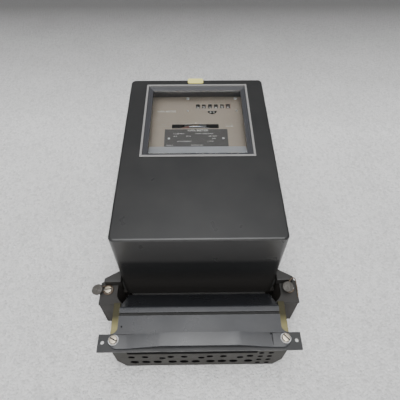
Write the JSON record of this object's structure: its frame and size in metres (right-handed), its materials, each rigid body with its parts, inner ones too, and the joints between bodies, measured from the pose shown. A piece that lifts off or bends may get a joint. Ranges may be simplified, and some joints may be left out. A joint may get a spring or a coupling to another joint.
{
  "type": "analog dial electric meter",
  "caption": "Three-phase induction electricity meter: black hood with a square window, digit drums and rotor disc, sealed hood screws, terminal block under its own cover.",
  "frame": {"origin": "wall face of the back plate, on the centre line, in the plane of the hood's lower wall", "axes": "+X to the right of the dial, +Y towards the meter's top, +Z out of its front"},
  "size_m": [0.2279, 0.3592, 0.1412],
  "materials": {
    "hood_black": "satin black phenolic moulding",
    "base_brown": "grey-brown phenolic moulding",
    "zinc_yellow": "yellow-passivated zinc-plated steel sheet",
    "rail_black": "black enamelled steel, worn at the edges",
    "nickel": "nickel-plated steel, slightly tarnished",
    "lead": "pressed lead, dull and dented",
    "seal_wire": "twisted tinned wire, rusty in places",
    "frame_grey": "grey moulded window rim",
    "clear": "clear flat pane",
    "marker_yellow": "pale yellow clip",
    "dial_taupe": "taupe lacquered sheet with printed marks",
    "label_dark": "dark printed plate",
    "cast_aluminium": "die-cast, fine grain",
    "disc_aluminium": "turned disc with fine rings",
    "steel": "ground steel",
    "lamination": "stacked silicon-steel sheets",
    "coil_wrap": "enamelled copper winding under red-brown tape",
    "brass": "turned brass",
    "drum_black": "black moulded drum with white digits",
    "gasket_grey": "felt-faced sealing cord"
  },
  "bodies": {
    "casing": {"back_plate": "zinc_yellow", "rail_bracket_left": "zinc_yellow", "rail_bracket_right": "zinc_yellow", "base_tray": "base_brown", "terminal_block": "base_brown", "hood_gasket": "gasket_grey", "cover_rail": "rail_black", "mechanism_frame": "cast_aluminium", "lower_bearing": "brass", "upper_bearing": "brass", "register_frame": "brass", "current_coil_1": "brass", "current_coil_2": "brass", "current_coil_3": "brass", "brake_magnet": "steel", "drum_shaft": "steel", "carry_shaft": "steel", "voltage_core_1": "lamination", "voltage_core_2": "lamination", "voltage_core_3": "lamination", "current_core_1": "lamination", "current_core_2": "lamination", "current_core_3": "lamination", "voltage_coil_1": "coil_wrap", "voltage_coil_2": "coil_wrap", "voltage_coil_3": "coil_wrap", "dial_plate": "dial_taupe", "name_plate": "label_dark"},
    "hood_body": {"hood": "hood_black", "window_frame": "frame_grey", "window_pane": "clear", "marker_clip": "marker_yellow", "hood_screw_left": "nickel", "hood_screw_right": "nickel", "lead_seal_left": "lead", "lead_seal_right": "lead", "seal_wire_left": "seal_wire", "seal_wire_right": "seal_wire"},
    "cover_body": {"terminal_cover": "hood_black", "cover_screw_left": "nickel", "cover_screw_right": "nickel"},
    "rotor_body": {"rotor_shaft": "steel", "upper_disc": "disc_aluminium", "lower_disc": "disc_aluminium"},
    "worm_wheel_body": {"worm_wheel": "brass"},
    "idler_body": {"idler_gear": "brass"},
    "drum_1_body": {"digit_drum_1": "drum_black"},
    "drum_2_body": {"digit_drum_2": "drum_black"},
    "drum_3_body": {"digit_drum_3": "drum_black"},
    "drum_4_body": {"digit_drum_4": "drum_black"},
    "drum_5_body": {"digit_drum_5": "drum_black"},
    "drum_6_body": {"digit_drum_6": "drum_black"},
    "carry_1_body": {"carry_pinion_1": "nickel"},
    "carry_2_body": {"carry_pinion_2": "nickel"},
    "carry_3_body": {"carry_pinion_3": "nickel"},
    "carry_4_body": {"carry_pinion_4": "nickel"},
    "carry_5_body": {"carry_pinion_5": "nickel"}
  },
  "joints": [
    {"name": "hood_lift", "type": "slide", "parent": "casing", "child": "hood_body", "axis": [0, 0, 1], "range_m": [0, 0.14]},
    {"name": "cover_lift", "type": "slide", "parent": "casing", "child": "cover_body", "axis": [0, 0, 1], "range_m": [0, 0.07]},
    {"name": "rotor_spin", "type": "hinge", "parent": "casing", "child": "rotor_body", "pos_m": [-0.0024, 0.1807, 0.0745], "axis": [0, 1, 0], "continuous": true},
    {"name": "worm_wheel_spin", "type": "hinge", "parent": "casing", "child": "worm_wheel_body", "pos_m": [-0.0024, 0.2, 0.093], "axis": [1, 0, 0], "continuous": true},
    {"name": "idler_spin", "type": "hinge", "parent": "casing", "child": "idler_body", "pos_m": [0.0415, 0.21396, 0.094], "axis": [1, 0, 0], "continuous": true},
    {"name": "drum_1_spin", "type": "hinge", "parent": "casing", "child": "drum_1_body", "pos_m": [0.001, 0.2198, 0.1105], "axis": [1, 0, 0], "continuous": true},
    {"name": "drum_2_spin", "type": "hinge", "parent": "casing", "child": "drum_2_body", "pos_m": [0.0091, 0.2198, 0.1105], "axis": [1, 0, 0], "continuous": true},
    {"name": "drum_3_spin", "type": "hinge", "parent": "casing", "child": "drum_3_body", "pos_m": [0.0172, 0.2198, 0.1105], "axis": [1, 0, 0], "continuous": true},
    {"name": "drum_4_spin", "type": "hinge", "parent": "casing", "child": "drum_4_body", "pos_m": [0.0253, 0.2198, 0.1105], "axis": [1, 0, 0], "continuous": true},
    {"name": "drum_5_spin", "type": "hinge", "parent": "casing", "child": "drum_5_body", "pos_m": [0.0334, 0.2198, 0.1105], "axis": [1, 0, 0], "continuous": true},
    {"name": "drum_6_spin", "type": "hinge", "parent": "casing", "child": "drum_6_body", "pos_m": [0.0415, 0.2198, 0.1105], "axis": [1, 0, 0], "continuous": true},
    {"name": "carry_1_spin", "type": "hinge", "parent": "casing", "child": "carry_1_body", "pos_m": [0.001, 0.2296, 0.1105], "axis": [1, 0, 0], "continuous": true},
    {"name": "carry_2_spin", "type": "hinge", "parent": "casing", "child": "carry_2_body", "pos_m": [0.0091, 0.2296, 0.1105], "axis": [1, 0, 0], "continuous": true},
    {"name": "carry_3_spin", "type": "hinge", "parent": "casing", "child": "carry_3_body", "pos_m": [0.0172, 0.2296, 0.1105], "axis": [1, 0, 0], "continuous": true},
    {"name": "carry_4_spin", "type": "hinge", "parent": "casing", "child": "carry_4_body", "pos_m": [0.0253, 0.2296, 0.1105], "axis": [1, 0, 0], "continuous": true},
    {"name": "carry_5_spin", "type": "hinge", "parent": "casing", "child": "carry_5_body", "pos_m": [0.0334, 0.2296, 0.1105], "axis": [1, 0, 0], "continuous": true}
  ],
  "couplings": [
    {"joint": "worm_wheel_spin", "follows": "rotor_spin", "ratio": -0.02},
    {"joint": "idler_spin", "follows": "rotor_spin", "ratio": 0.0066667},
    {"joint": "drum_1_spin", "follows": "rotor_spin", "ratio": -0.0000001},
    {"joint": "drum_2_spin", "follows": "rotor_spin", "ratio": -0.000001},
    {"joint": "drum_3_spin", "follows": "rotor_spin", "ratio": -0.00001},
    {"joint": "drum_4_spin", "follows": "rotor_spin", "ratio": -0.0001},
    {"joint": "drum_5_spin", "follows": "rotor_spin", "ratio": -0.001},
    {"joint": "drum_6_spin", "follows": "rotor_spin", "ratio": -0.01},
    {"joint": "carry_1_spin", "follows": "rotor_spin", "ratio": 0.00000025},
    {"joint": "carry_2_spin", "follows": "rotor_spin", "ratio": 0.0000025},
    {"joint": "carry_3_spin", "follows": "rotor_spin", "ratio": 0.000025},
    {"joint": "carry_4_spin", "follows": "rotor_spin", "ratio": 0.00025},
    {"joint": "carry_5_spin", "follows": "rotor_spin", "ratio": 0.0025}
  ]
}
